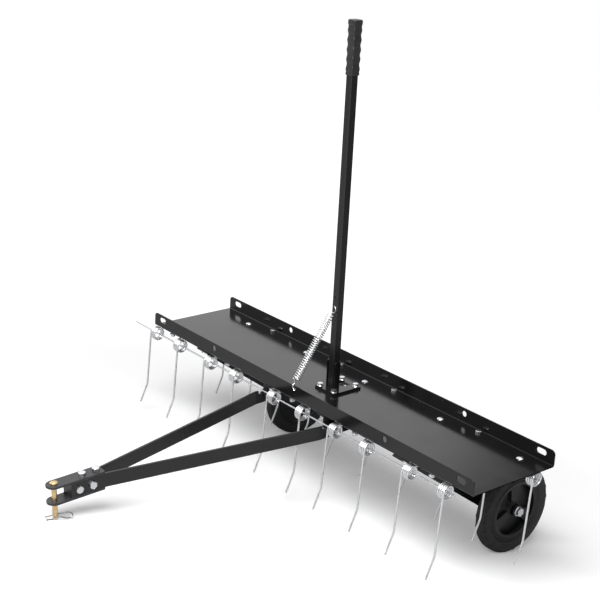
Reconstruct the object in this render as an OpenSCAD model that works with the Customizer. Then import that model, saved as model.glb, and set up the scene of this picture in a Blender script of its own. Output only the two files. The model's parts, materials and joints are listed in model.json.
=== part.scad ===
// Tow-behind dethatcher, parked on level ground on its two wheels and its hitch pin.
// Each piece is drawn in the tray's own frame: X to the right, Y to the rear, Z square to the tray,
// with zero at the middle of the tray's floor. The towbar's pieces are drawn in the bar's frame, with
// zero on the hinge line. The module parked() tilts the whole machine until pin and wheels stand on
// the ground and puts the origin at the middle of the box on the ground.

/* [Tray] */
// Width of the tray across the direction of travel
tray_w = 1016; // [980:1:1060]
// Depth of the tray over its flanges
tray_d = 216; // [206:1:232]
// Height of the flanges above the floor
flange_h = 30; // [28:0.5:45]
// Thickness of the sheet
sheet = 2; // [1.5:0.1:3]
// Outer radius of the long bends
bend_r = 4; // [3.2:0.1:6]
// Radius of the flanges' top corners
corner_r = 9; // [2:0.5:11]
// Distance of the end slots' middle from the tray's end
slot_inset = 32; // [22:1:60]
// Length of an end slot
slot_len = 24; // [14:1:34]
// Height of an end slot
slot_w = 12; // [6:0.5:13]
// Distance of the round flange holes from the middle
hole_x = 275; // [200:1:330]
// Diameter of the round flange holes
hole_d = 12; // [5:0.5:14]

/* [Tines] */
// Distance of the two outermost tine bolts of a row from the tray's ends
tine_end_near = 58; // [57:1:64]
// The same distance at the row's other end
tine_end_far = 113; // [105:1:120]
// Place of the second tine bolt
tine_second = 238.5; // [234:0.5:241]
// Place of the middle tine bolt
tine_middle = 13; // [11:0.5:16]
// Place of the fourth tine bolt
tine_fourth = -182; // [-184:0.5:-178]
// Spring wire of a tine
tine_wire = 4; // [3:0.1:4.4]
// Outer diameter of a tine's coils
coil_d = 26; // [23:0.5:28]
// Turns of one coil
coil_turns = 3.25; // [2.25:1:4.25]
// Free gap between two turns
coil_gap = 0.9; // [0.6:0.1:1.4]
// Middle of a coil from the middle of its tine
coil_x = 47.1; // [44:0.1:49]
// Length of the straight part of a tooth below the coil's middle
leg_len = 123; // [100:1:150]
// Length of the bent tip
tip_len = 45.7; // [20:0.1:60]
// Forward lean of the straight part, degrees
leg_lean = 3.7; // [0:0.1:8]
// Forward bend of the tip, degrees
tip_bend = 23.2; // [5:0.1:40]
// Bolt line behind the coils' middle
coil_ahead = 10.5; // [9.5:0.5:14]
// Middle of the coils below the floor's top face
coil_drop = 19; // [18:0.5:24]
// Rod that runs through the coils
rod_d = 5; // [4:0.1:6]
// Rod below the floor's top face
rod_drop = 18; // [16:0.1:18.2]
// Front rod past the tray's left end
rod_out = 77; // [10:1:120]
// Front rod short of the tray's right end
rod_in = 43; // [2:1:50]

/* [Wheels] */
// Outer diameter of a wheel
wheel_d = 190; // [170:1:205]
// Width of a tyre
tyre_w = 32; // [24:0.5:40]
// Middle of a wheel from the middle of the machine
wheel_x = 342.5; // [338:0.5:352]
// Axle behind the tray's rear flange
axle_back = 92; // [84:1:120]
// Axle below the floor's top face
axle_drop = 188; // [160:1:210]
// Diameter of the rim where the tyre sits
rim_d = 140; // [126:1:150]
// Inner diameter of the rim's outer lip
lip_d = 108; // [90:1:112]
// Axle bolt
axle_d = 10; // [8:0.5:12]
// Plate of the wheel brackets
bracket_t = 3; // [2.5:0.1:4]
// Inner face of a wheel bracket from the middle
bracket_x = 298.5; // [297.5:0.1:300]
// Width of the bracket's flange under the tray
bracket_w = 41.5; // [36:0.5:41.5]

/* [Towbar] */
// Height of the flat bars
bar_h = 28; // [24:0.5:28]
// Thickness of the flat bars
bar_t = 4.5; // [4:0.1:6]
// Inner face of the bars' rear part from the middle
bar_x = 101.75; // [101.75:0.05:104]
// Hinge line behind the tray's front edge
hinge_back = 16; // [15:0.5:18]
// Hinge line below the floor's top face
hinge_drop = 32.2; // [32:0.1:36]
// Nose-down pitch of the bar against the tray, degrees
bar_pitch = 2.4; // [1.5:0.1:2.8]
// Hinge line to the middle of the hitch pin
pin_reach = 563; // [480:1:640]
// Bend of the bars ahead of the hinge line
bend_ahead = 30; // [28:1:36]
// Width of the two hitch straps
strap_w = 30; // [28:0.5:36]
// Thickness of the hitch straps
strap_t = 4.5; // [3:0.1:6]
// Length of the hitch straps behind the pin
strap_back = 99; // [90:1:120]
// Clear depth from the pin to the ends of the bars
throat = 27; // [22:0.5:34]
// Diameter of the hitch pin
pin_d = 10; // [8:0.1:12]
// Hitch pin below the lower strap
pin_below = 33; // [30:0.5:46]
// Wire of the retaining clip
clip_wire = 2.4; // [2:0.1:2.6]

/* [Lever] */
// Side of the square lever tube
lever_w = 17; // [15:0.1:18]
// Wall of the lever tube
lever_wall = 1.5; // [1.2:0.1:2]
// Top of the grip above the floor
lever_top = 757; // [600:1:900]
// Length of the grip
grip_len = 106; // [80:1:130]
// Width of the guide plate across the machine
plate_w = 61; // [59:0.5:64]
// Length of the guide plate
plate_l = 76; // [75:0.5:80]
// Height of the two ears beside the lever
ear_h = 57; // [30:1:80]
// Thickness of the guide plate
plate_t = 5; // [3:0.5:6]
// Width of the guide slot
guide_w = 22; // [19:0.5:22.5]
// Rear end of the guide slot behind the lever's middle
guide_back = 32; // [28:0.5:32.5]
// Height of the spring's hole above the floor
spring_hole = 181.4; // [150:0.1:200]
// Outer diameter of the lever spring
spring_d = 13.5; // [10:0.1:16]
// Wire of the lever spring
spring_wire = 2; // [1.5:0.1:2.4]
// Turns of the lever spring
spring_turns = 28; // [20:1:32]

/* [Fasteners] */
// Bolts of the tray, brackets, plate and hitch
bolt_d = 8; // [6:0.1:8]
// Bolts of the tines and the guide plate
tine_bolt_d = 6; // [5:0.1:6]
// Hinge bolts of the towbar
hinge_d = 10; // [8:0.1:10]
// Radial room of a bolt in its hole
bolt_play = 0.3; // [0.15:0.05:0.5]

/* [Hidden] */
$fn = 48;
run_fit = 0.08;
seat = 0.3;
face_gap = 0.15;
washer_t = 1.6;

// Places that several pieces share
half_w = tray_w / 2;
half_d = tray_d / 2;
flange_mid = (flange_h - sheet) / 2 + bend_r;
bolt_line = half_d - 10.5;
rear_line = half_d - 29.5;
front_coil_y = -bolt_line - coil_ahead;
rear_coil_y = rear_line - coil_ahead;
bracket_bolt_y = half_d - 12.5;
pivot_bolt_x = 84;
wheel_bolt_x = bracket_x + 27.5;
rear_tines = [half_w - tine_end_near, tine_second, tine_middle, tine_fourth, tine_end_far - half_w];
front_tines = [for (x = rear_tines) -x];
under = -sheet;
web_out = bar_x - 3.25;
web_in = web_out - bracket_t;
hinge_y = -half_d + hinge_back;
hub_y = half_d + axle_back;
hub_x_in = bracket_x + bracket_t;
wheel_r = wheel_d / 2;
hub_len = tyre_w + 3;
bar_mid_x = bar_x + bar_t / 2;
nose_x = strap_w / 2 - bar_t / 2;
nose_y = -(pin_reach - throat);
strap_z = bar_h / 2;
pin_low = -(strap_z + strap_t + pin_below);
pin_tip_r = pin_d / 2 - 1.2;
clip_z = pin_low + 7.2;
channel_y = lever_w / 2;
channel_top = -(hinge_drop - 14.5);
channel_h = 30;
channel_d = 23;
tail_y = channel_y + channel_d - hinge_y + 4;
plate_mid = [7, 7.5, 0];
plate_bolt_x = plate_w / 2 - 9;
plate_bolt_y = plate_l / 2 - 8;
slot_right = guide_w / 2 + 6;
grip_low = lever_top - grip_len;

// The tilt at which the hitch pin's end and the wheels stand on one level floor
function pitched(y, z) = [hinge_y + y * cos(bar_pitch) - z * sin(bar_pitch),
    -hinge_drop + y * sin(bar_pitch) + z * cos(bar_pitch)];
pin_foot = pitched(-pin_reach - pin_tip_r, pin_low);
foot_run = hub_y - pin_foot[0];
foot_rise = pin_foot[1] + axle_drop;
park_tilt = atan(foot_rise / foot_run) + asin(wheel_r / norm([foot_run, foot_rise]));
park_z = wheel_r - hub_y * sin(park_tilt) + axle_drop * cos(park_tilt);
nose_tip = pitched(-pin_reach - strap_w / 2, strap_z + strap_t);
box_front = nose_tip[0] * cos(park_tilt) - nose_tip[1] * sin(park_tilt);
box_rear = hub_y * cos(park_tilt) + axle_drop * sin(park_tilt) + wheel_r;
box_y = -(box_front + box_rear) / 2;
box_x = rod_out / 2;

module parked() {
    translate([box_x, box_y, park_z]) rotate([park_tilt, 0, 0]) children();
}

module on_bar() {
    parked() translate([0, hinge_y, -hinge_drop]) rotate([bar_pitch, 0, 0]) children();
}

module right_left() {
    children();
    mirror([1, 0, 0]) children();
}

// Bolts, with their washers and nuts
module hex(across, h) {
    cylinder(d = across / cos(30), h = h, $fn = 6);
}

// A bolt along -Z from the clamped face at zero, with its nut under the grip
module bolt(d, grip, with_nut = true, washer = washer_t) {
    if (washer > 0) cylinder(d = 2.1 * d, h = washer);
    translate([0, 0, washer]) hex(1.63 * d, 0.62 * d);
    length = with_nut ? grip + washer + 0.95 * d : grip;
    translate([0, 0, -length]) cylinder(d = d, h = length + washer);
    if (with_nut && washer > 0) translate([0, 0, -grip - washer]) cylinder(d = 2.1 * d, h = washer);
    if (with_nut) translate([0, 0, -grip - washer - 0.75 * d]) hex(1.63 * d, 0.75 * d);
}

// A bolt with a low domed head, the same way
module dome_bolt(d, grip) {
    head = 1.95 * d;
    ball = (head * head / 4 + 9) / 6;
    intersection() {
        translate([0, 0, 3.4 - ball]) sphere(ball);
        cylinder(d = head, h = 6);
    }
    length = grip + washer_t + 0.95 * d;
    translate([0, 0, -length]) cylinder(d = d, h = length + 1);
    translate([0, 0, -grip - washer_t]) cylinder(d = 2.1 * d, h = washer_t);
    translate([0, 0, -grip - washer_t - 0.75 * d]) hex(1.63 * d, 0.75 * d);
}

module bolt_hole(d, h) {
    cylinder(d = d + 2 * bolt_play, h = h, center = true);
}

// Tray
module slot_2d(len, w) {
    square([len - w, w], center = true);
    for (s = [-1, 1]) translate([s * (len - w) / 2, 0]) circle(d = w);
}

module along_x(w) {
    rotate([90, 0, 90]) linear_extrude(w, center = true) children();
}

module along_y(d) {
    rotate([90, 0, 0]) linear_extrude(d, center = true) children();
}

// The tray is one pressed sheet, drawn as its flat floor and its two flanges with their bends
module tray_floor() color("dimgray") parked() difference() {
    translate([0, 0, -sheet / 2]) cube([tray_w, tray_d - 2 * bend_r, sheet], center = true);
    for (x = front_tines) translate([x, -bolt_line, 0]) bolt_hole(tine_bolt_d, 9);
    for (x = rear_tines) translate([x, rear_line, 0]) bolt_hole(tine_bolt_d, 9);
    right_left() for (x = [pivot_bolt_x, wheel_bolt_x], s = [-1, 1])
        translate([x, s * bracket_bolt_y, 0]) bolt_hole(bolt_d, 9);
    plate_bolts() bolt_hole(tine_bolt_d, 9);
    translate([0, 0, -5]) linear_extrude(10) guide_opening(1.5);
}

module flange_outline() {
    translate([half_d - sheet, bend_r - sheet]) square([sheet, flange_h - bend_r + sheet]);
    translate([half_d - bend_r, bend_r - sheet]) difference() {
        circle(bend_r);
        circle(bend_r - sheet);
        translate([-2 * bend_r, -2 * bend_r]) square([2 * bend_r, 4 * bend_r]);
        translate([-1, 0]) square([2 * bend_r, 2 * bend_r]);
    }
}

module tray_flange() difference() {
    along_x(tray_w) flange_outline();
    right_left() translate([half_w - corner_r, half_d, flange_h - corner_r]) along_y(4 * bend_r)
        difference() {
            square(corner_r + 1);
            circle(corner_r);
        }
    right_left() translate([half_w - slot_inset, half_d, flange_mid]) along_y(4 * bend_r)
        slot_2d(slot_len, slot_w);
    right_left() translate([hole_x, half_d, flange_mid]) along_y(4 * bend_r) circle(d = hole_d);
}

module tray_flange_front() color("dimgray") parked() mirror([0, 1, 0]) tray_flange();

module tray_flange_rear() color("dimgray") parked() tray_flange();

// Guide plate with the opening that steers and stops the lever, and an ear on each side of the lever
module plate_bolts() {
    translate(plate_mid) for (x = [-1, 1], y = [-1, 1])
        translate([x * plate_bolt_x, y * plate_bolt_y, 0]) children();
}

module guide_opening(grown) {
    front = -lever_w / 2 - seat - grown;
    left = -guide_w / 2 - grown;
    back = guide_back + grown;
    wide = slot_right + grown;
    translate([left, front]) square([guide_w + 2 * grown, back - front]);
    translate([0, 20]) square([wide, back - 20]);
    translate([wide - 8, 20]) circle(8);
    translate([0, 12]) square([wide - 8, 12]);
}

module guide_plate() color("gray") parked() {
    difference() {
        translate(plate_mid) linear_extrude(plate_t) {
            square([plate_w - 6, plate_l], center = true);
            square([plate_w, plate_l - 6], center = true);
            for (x = [-1, 1], y = [-1, 1])
                translate([x * (plate_w / 2 - 3), y * (plate_l / 2 - 3)]) circle(3);
        }
        translate([0, 0, -1]) linear_extrude(plate_t + 2) guide_opening(0);
        plate_bolts() bolt_hole(tine_bolt_d, 30);
    }
    right_left() translate([guide_w / 2 + 1.5, 0, plate_t - 1]) along_x(3)
        translate([-lever_w / 2 + 0.5, 0]) {
            square([13, ear_h - 3]);
            translate([3, 0]) square([7, ear_h]);
            for (y = [3, 10]) translate([y, ear_h - 3]) circle(3);
        }
}

module guide_plate_bolts() color("silver") parked()
    plate_bolts() translate([0, 0, plate_t]) bolt(tine_bolt_d, plate_t + sheet);

// Brackets under the tray: an angle whose web is cut to the outline given as a child
module angle_2d(w, h, t) {
    r = t + 1;
    translate([r, -t]) square([w - r, t]);
    translate([0, -h]) square([t, h - r]);
    translate([r, -r]) difference() {
        circle(r);
        circle(1);
        translate([0, -2 * r]) square(4 * r);
        translate([-2 * r, -4 * r]) square(4 * r);
    }
}

module bracket(w, h) {
    intersection() {
        translate([0, 0, under]) along_y(tray_d - 2) angle_2d(w, h, bracket_t);
        translate([0, 0, under]) along_x(400) children();
    }
}

module pivot_outline() {
    band = rod_drop - sheet + 9;
    hinge_z = -hinge_drop - under;
    difference() {
        union() {
            translate([-half_d, -band]) square([tray_d, band]);
            translate([hinge_y - 12, hinge_z]) square([24, -hinge_z]);
            translate([hinge_y, hinge_z]) circle(12);
        }
        translate([-58, -band - 10]) square([100, 14]);
        translate([-50, -band - 10]) square([84, 22]);
        for (y = [-50, 34]) translate([y, -band + 4]) circle(8);
        translate([hinge_y, hinge_z]) circle(d = hinge_d + 2 * bolt_play);
        for (y = [front_coil_y, rear_coil_y])
            translate([y, -rod_drop - under]) circle(d = rod_d + 2 * bolt_play);
    }
}

module pivot_bracket() difference() {
    translate([web_out, 0, 0]) mirror([1, 0, 0]) bracket(web_out - pivot_bolt_x + 9, 60) pivot_outline();
    for (s = [-1, 1]) translate([pivot_bolt_x, s * bracket_bolt_y, 0]) bolt_hole(bolt_d, 14);
}

module pivot_bracket_left() color("dimgray") parked() mirror([1, 0, 0]) pivot_bracket();

module pivot_bracket_right() color("dimgray") parked() pivot_bracket();

module pivot_bracket_bolts() color("silver") parked() right_left()
    for (s = [-1, 1]) translate([pivot_bolt_x, s * bracket_bolt_y, 0]) dome_bolt(bolt_d, sheet + bracket_t);

// Each hinge bolt clamps a spacer on the bracket's web and leaves the bar free to turn
module hinge_bolts() color("silver") parked() right_left()
    translate([bar_x + bar_t + face_gap, hinge_y, -hinge_drop]) rotate([0, 90, 0]) {
        bolt(hinge_d, bar_x + bar_t + face_gap - web_in);
        translate([0, 0, -(bar_t + 2 * face_gap) - (bar_x - face_gap - web_out)])
            cylinder(d = 18, h = bar_x - face_gap - web_out);
    }

module wheel_outline() {
    boss = 18;
    axle_z = -axle_drop - under;
    difference() {
        union() {
            translate([-half_d, -bracket_t - 1]) square([tray_d, bracket_t + 1]);
            polygon([[-half_d + 1, 0], [half_d - 1, 0], [hub_y + boss, axle_z], [hub_y, axle_z - boss],
                [hub_y - 48, axle_z - 2], [-half_d + 1, -bracket_t - 2]]);
            translate([hub_y, axle_z]) circle(boss);
        }
        translate([hub_y, axle_z]) circle(d = axle_d + 2 * bolt_play);
        translate([rear_coil_y, -rod_drop - under]) circle(d = rod_d + 2 * bolt_play);
    }
}

// The web runs on behind the tray, down to the axle
module wheel_bracket() difference() {
    union() {
        translate([bracket_x, 0, 0]) bracket(bracket_w, 8) wheel_outline();
        translate([bracket_x + bracket_t / 2, 0, under]) intersection() {
            along_x(bracket_t) wheel_outline();
            translate([-10, -400, -400]) cube([20, 900, 400 - bracket_t - 1]);
        }
    }
    for (s = [-1, 1]) translate([wheel_bolt_x, s * bracket_bolt_y, 0]) bolt_hole(bolt_d, 14);
}

module wheel_bracket_left() color("dimgray") parked() mirror([1, 0, 0]) wheel_bracket();

module wheel_bracket_right() color("dimgray") parked() wheel_bracket();

module wheel_bracket_bolts() color("silver") parked() right_left()
    for (s = [-1, 1]) translate([wheel_bolt_x, s * bracket_bolt_y, 0]) dome_bolt(bolt_d, sheet + bracket_t);

// Wheels, drawn with the axle along Z and the outer side up
module at_axle() {
    translate([wheel_x, hub_y, -axle_drop]) rotate([0, 90, 0]) children();
}

module axle_bolt() at_axle() {
    outer = hub_len / 2 + face_gap;
    inner = wheel_x - bracket_x;
    translate([0, 0, outer]) bolt(axle_d, outer + inner);
    spacer = wheel_x - hub_len / 2 - face_gap - hub_x_in;
    translate([0, 0, -(wheel_x - hub_x_in)]) cylinder(d = axle_d + 7, h = spacer);
}

module axle_bolt_left() color("silver") parked() mirror([1, 0, 0]) axle_bolt();

module axle_bolt_right() color("silver") parked() axle_bolt();

module rim() at_axle() difference() {
    union() {
        rotate_extrude() {
            translate([rim_d / 2 - 6, -tyre_w / 2 + 3]) square([6, tyre_w - 6]);
            translate([lip_d / 2, tyre_w / 2 - 6]) square([rim_d / 2 - lip_d / 2, 3]);
            translate([0, -hub_len / 2]) square([axle_d / 2 + 8, hub_len]);
            translate([0, -5]) square([rim_d / 2 - 3, 3]);
        }
        translate([0, 0, -4]) linear_extrude(10) for (a = [90, 210, 330]) rotate(a)
            polygon([[0, -11], [rim_d / 2 - 4, -17], [rim_d / 2 - 4, 17], [0, 11]]);
    }
    cylinder(r = axle_d / 2 + run_fit, h = 90, center = true);
}

module wheel_rim_left() color("black") parked() mirror([1, 0, 0]) rim();

module wheel_rim_right() color("black") parked() rim();

// A solid tyre with a smooth middle rib and staggered shoulder lugs
module tyre() at_axle() difference() {
    rotate_extrude() difference() {
        union() {
            translate([rim_d / 2 + seat, -tyre_w / 2 + 1]) square([wheel_r - rim_d / 2 - 6, tyre_w - 2]);
            translate([wheel_r - 15, -tyre_w / 2]) square([10, tyre_w]);
            translate([wheel_r - 6, -tyre_w / 2 + 5]) square([6, tyre_w - 10]);
            for (s = [-1, 1]) translate([wheel_r - 5, s * (tyre_w / 2 - 5)]) circle(5);
        }
        for (s = [-1, 1]) translate([rim_d / 2 + 6, s * (tyre_w / 2 + 1)]) circle(3);
    }
    for (s = [-1, 1]) translate([0, 0, s * (tyre_w / 2 - 6)]) linear_extrude(7, center = true)
        for (i = [0:23]) rotate(15 * i + (s + 1) * 3.75) translate([wheel_r, 0]) square([5, 5], center = true);
}

module wheel_tyre_left() color("black") parked() mirror([1, 0, 0]) tyre();

module wheel_tyre_right() color("black") parked() tyre();

// Tubes of wire: each ring is the last one carried along its straight piece to the next mitre
function unit(v) = v / norm(v);
function mitre(p, i) = i == 0 ? unit(p[1] - p[0])
    : i == len(p) - 1 ? unit(p[i] - p[i - 1])
    : unit(unit(p[i + 1] - p[i]) + unit(p[i] - p[i - 1]));
function first_ring(p, r, n) = let (
    t = unit(p[1] - p[0]),
    a = unit(cross(t, abs(t[0]) < 0.9 ? [1, 0, 0] : [0, 1, 0])),
    b = cross(t, a)
) [for (k = [0:n - 1]) p[0] + r * (cos(360 * k / n) * a + sin(360 * k / n) * b)];
function next_ring(ring, p, i) = let (d = unit(p[i + 1] - p[i]), t = mitre(p, i + 1))
    [for (q = ring) q + d * (((p[i + 1] - q) * t) / (d * t))];
function rings(p, r, n) = [for (i = 0, ring = first_ring(p, r, n); i < len(p);
    ring = i + 1 < len(p) ? next_ring(ring, p, i) : ring, i = i + 1) ring];

module wire_tube(p, d, n = 6) {
    m = len(p);
    points = [for (ring = rings(p, d / 2, n)) each ring];
    sides = [for (i = [0:m - 2], k = [0:n - 1]) each let (a = i * n + k, b = i * n + (k + 1) % n)
        [[a, a + n, b + n], [a, b + n, b]]];
    caps = [for (k = [1:n - 2]) each [[0, k, k + 1], [(m - 1) * n, (m - 1) * n + k + 1, (m - 1) * n + k]]];
    polyhedron(points, concat(sides, caps), convexity = 10);
}

// Least gap of a wire to itself, measured on the route's points and the middles between them
function halved(p) = [for (i = [0:len(p) - 2]) each [p[i], (p[i] + p[i + 1]) / 2]];
function run_length(p) = [for (i = 0, s = 0; i < len(p);
    s = i + 1 < len(p) ? s + norm(p[i + 1] - p[i]) : s, i = i + 1) s];
function least_gap(p, d) = let (q = halved(p), s = run_length(q))
    min([for (i = [0:len(q) - 2], j = [i + 1:len(q) - 1]) if (s[j] - s[i] > 3 * d) norm(q[i] - q[j])]) - d;

// Tines: two coils on one wire, a tooth at each outer end and a bow round the bolt between them
coil_r = (coil_d - tine_wire) / 2;
coil_len = coil_turns * (tine_wire + coil_gap);
coil_steps = ceil(6 * coil_turns);
coil_out = coil_x + coil_len / 2;
coil_in = coil_x - coil_len / 2;
bow_z = coil_drop - sheet - tine_wire / 2 - seat;
bow_y = coil_ahead + tine_bolt_d / 2 + tine_wire / 2 + 0.4;
function leg_at(s) = [coil_out, -coil_r - s * sin(leg_lean), -s * cos(leg_lean)];
function tip_at(s) = leg_at(leg_len) + [0, -s * sin(tip_bend), -s * cos(tip_bend)];
function coil_at(k) = let (u = k / coil_steps, a = 180 - 360 * coil_turns * u)
    [coil_out - coil_len * u, coil_r * cos(a), coil_r * sin(a)];
half_tine = [tip_at(tip_len), tip_at(7), leg_at(leg_len - 7), for (k = [0:coil_steps]) coil_at(k),
    [coil_in - 0.5, 5, coil_r + 2.2], [coil_in - 5, coil_ahead - 0.5, bow_z], [5, bow_y, bow_z]];
function flipped(p) = [for (i = [len(p) - 1:-1:0]) [-p[i][0], p[i][1], p[i][2]]];
tine_route = concat(half_tine, flipped(half_tine));
echo(str("tine: least gap of the wire to itself ", least_gap(tine_route, tine_wire), " mm"));

module tine(x, y) color("silver") parked() translate([x, y, -coil_drop]) wire_tube(tine_route, tine_wire);

module tine_bolt() bolt(tine_bolt_d, sheet + seat + tine_wire + 0.1);

module tine_bolts_front() color("silver") parked()
    for (x = front_tines) translate([x, -bolt_line, 0]) tine_bolt();

module tine_bolts_rear() color("silver") parked()
    for (x = rear_tines) translate([x, rear_line, 0]) tine_bolt();

module tine_front_1() tine(front_tines[0], front_coil_y);
module tine_front_2() tine(front_tines[1], front_coil_y);
module tine_front_3() tine(front_tines[2], front_coil_y);
module tine_front_4() tine(front_tines[3], front_coil_y);
module tine_front_5() tine(front_tines[4], front_coil_y);
module tine_rear_1() tine(rear_tines[0], rear_coil_y);
module tine_rear_2() tine(rear_tines[1], rear_coil_y);
module tine_rear_3() tine(rear_tines[2], rear_coil_y);
module tine_rear_4() tine(rear_tines[3], rear_coil_y);
module tine_rear_5() tine(rear_tines[4], rear_coil_y);

module tine_rod(left, right, y) color("silver") parked()
    translate([left, y, -rod_drop]) rotate([0, 90, 0]) cylinder(d = rod_d, h = right - left);

module tine_rod_front() tine_rod(-half_w - rod_out, half_w - rod_in, front_coil_y);
module tine_rod_rear() tine_rod(-half_w - 37, half_w - 3, rear_coil_y);

// Drawbars: flat bar bent twice, drawn as a centre line with round bends in plan
function turned(v, a) = [v[0] * cos(a) - v[1] * sin(a), v[0] * sin(a) + v[1] * cos(a)];
function bend(a, b, c, r) = let (
    u = (b - a) / norm(b - a),
    w = (c - b) / norm(c - b),
    turn = atan2(u[0] * w[1] - u[1] * w[0], u * w),
    start = b - u * r * tan(abs(turn) / 2),
    middle = start + sign(turn) * r * [-u[1], u[0]]
) [for (k = [0:4]) middle + turned(start - middle, turn * k / 4)];
bar_rear = [bar_mid_x, tail_y];
bar_bend = [bar_mid_x, -bend_ahead];
bar_nose_bend = [nose_x, nose_y + 73];
bar_nose = [nose_x, nose_y];
bar_line = concat([bar_rear], bend(bar_rear, bar_bend, bar_nose_bend, 20),
    bend(bar_bend, bar_nose_bend, bar_nose, 20), [bar_nose]);
function side_of(p, i, d) = let (
    a = p[max(i - 1, 0)],
    b = p[min(i + 1, len(p) - 1)],
    u = (b - a) / norm(b - a)
) p[i] + d * [-u[1], u[0]];

side_bolts = [nose_y + 16, nose_y + 44];
strap_bolts = [nose_y + 31, nose_y + 60];

// Where the front tine rod lies in the bar's frame when the bar has swung by an angle
function rod_seen(a) = let (y = front_coil_y - hinge_y, z = hinge_drop - rod_drop, t = a - bar_pitch)
    [y * cos(t) - z * sin(t), y * sin(t) + z * cos(t)];

// Relief in the bar's top edge for the front tine rod
module rod_relief() {
    rest = rod_seen(0);
    swung = rod_seen(18);
    room = rod_d / 2 + 1.3;
    translate([bar_mid_x, 0, 0]) along_x(12) {
        translate([swung[0] - room, swung[1]]) square([rest[0] - swung[0] + 2 * room, 60]);
        translate(swung) circle(room);
    }
}

module drawbar() difference() {
    linear_extrude(bar_h, center = true) polygon(concat(
        [for (i = [0:len(bar_line) - 1]) side_of(bar_line, i, bar_t / 2)],
        [for (i = [len(bar_line) - 1:-1:0]) side_of(bar_line, i, -bar_t / 2)]));
    for (y = side_bolts) translate([nose_x, y, 0]) rotate([0, 90, 0]) bolt_hole(bolt_d, 20);
    translate([bar_mid_x, 0, 0]) rotate([0, 90, 0]) cylinder(r = hinge_d / 2 + run_fit, h = 20, center = true);
    on_tail() bolt_hole(bolt_d, 20);
    rod_relief();
}

module drawbar_left() color("dimgray") on_bar() mirror([1, 0, 0]) drawbar();

module drawbar_right() color("dimgray") on_bar() drawbar();

// Hitch
module strap() difference() {
    linear_extrude(strap_t) union() {
        translate([0, -pin_reach]) circle(d = strap_w);
        translate([-strap_w / 2, -pin_reach]) square([strap_w, strap_back - 5]);
        translate([-strap_w / 2 + 5, -pin_reach]) square([strap_w - 10, strap_back]);
        for (s = [-1, 1]) translate([s * (strap_w / 2 - 5), strap_back - pin_reach - 5]) circle(5);
    }
    translate([0, -pin_reach, 0]) cylinder(d = pin_d + 0.4, h = 40, center = true);
    for (y = strap_bolts) translate([0, y, 0]) bolt_hole(bolt_d, 40);
}

module hitch_strap_top() color("dimgray") on_bar() translate([0, 0, strap_z]) strap();

module hitch_strap_bottom() color("dimgray") on_bar() translate([0, 0, -strap_z - strap_t]) strap();

module hitch_spacer() color("dimgray") on_bar() {
    block_w = strap_w - 2 * bar_t;
    difference() {
        translate([-block_w / 2, nose_y, -strap_z]) cube([block_w, 71, bar_h]);
        for (y = strap_bolts) translate([0, y, 0]) bolt_hole(bolt_d, 40);
        for (y = side_bolts) translate([0, y, 0]) rotate([0, 90, 0]) bolt_hole(bolt_d, 40);
    }
}

module hitch_side_bolts() color("silver") on_bar()
    for (y = side_bolts) translate([strap_w / 2, y, 0]) rotate([0, 90, 0]) bolt(bolt_d, strap_w);

module hitch_strap_bolts() color("silver") on_bar()
    for (y = strap_bolts) translate([0, y, strap_z + strap_t])
        bolt(bolt_d, bar_h + 2 * strap_t, with_nut = false);

module hitch_pin() color("goldenrod") on_bar() difference() {
    translate([0, -pin_reach, 0]) rotate_extrude() {
        head = strap_z + strap_t;
        translate([0, pin_low + 1.2]) square([pin_d / 2, head - pin_low - 1.2]);
        polygon([[0, pin_low], [pin_tip_r, pin_low], [pin_d / 2, pin_low + 1.2], [0, pin_low + 1.2]]);
        translate([0, head]) square([pin_d / 2 + 2.4, 2.6]);
        intersection() {
            translate([0, head + 2.6]) square([20, 10]);
            translate([0, head - 5.6]) circle(d = 21.6);
        }
    }
    translate([0, -pin_reach, clip_z]) rotate([0, 90, clip_turn])
        cylinder(d = clip_wire + 0.6, h = 30, center = true);
}

// Retaining clip: a straight leg through the pin, a ring beside it and a leg that bows round the pin
clip_turn = 80;
clip_lean = 16;
clip_ring_r = 10.5;
clip_side = pin_d / 2 + clip_wire / 2 + 0.7;
function ring_at(a) = [19 + clip_ring_r * cos(a), -clip_ring_r + clip_ring_r * sin(a)];
clip_flat = [[-20, 0], [-8, 0], [8, 0], [15, 0], for (a = [75:-30:-165]) ring_at(a),
    [8.4, -clip_side - 3], [6.6, -clip_side - 1], [3.5, -clip_side], [-2.5, -clip_side],
    [-12, -clip_side], [-16, -clip_side - 0.4], [-20, -clip_side - 2.2]];
clip_route = [for (p = clip_flat) [p[0], p[1] * cos(clip_lean), p[1] * sin(clip_lean)]];

module hitch_clip() color("silver") on_bar()
    translate([0, -pin_reach, clip_z]) rotate([0, 0, clip_turn]) wire_tube(clip_route, clip_wire, 6);

// Cross channel that ties the bars' rear ends together and carries the lever's foot
tail_bolt_y = channel_y + channel_d / 2 + 1;
tail_bolt_z = channel_top - channel_h / 2;

module on_tail() {
    back = tail_bolt_y - hinge_y;
    rise = tail_bolt_z + hinge_drop;
    translate([bar_mid_x, back * cos(bar_pitch) + rise * sin(bar_pitch),
        rise * cos(bar_pitch) - back * sin(bar_pitch)]) rotate([0, 90, 0]) children();
}

module cross_channel() color("dimgray") parked() difference() {
    translate([-bar_x, channel_y, channel_top - channel_h]) cube([2 * bar_x, channel_d, channel_h]);
    translate([-bar_x + 3, channel_y + 3, channel_top - channel_h + 3])
        cube([2 * bar_x - 6, channel_d, channel_h - 6]);
    for (z = lever_bolt_z) translate([0, channel_y, z]) rotate([90, 0, 0]) bolt_hole(lever_bolt_d, 20);
    translate([0, tail_bolt_y, tail_bolt_z]) rotate([0, 90, 0]) bolt_hole(bolt_d, 2 * bar_x + 8);
}

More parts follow.
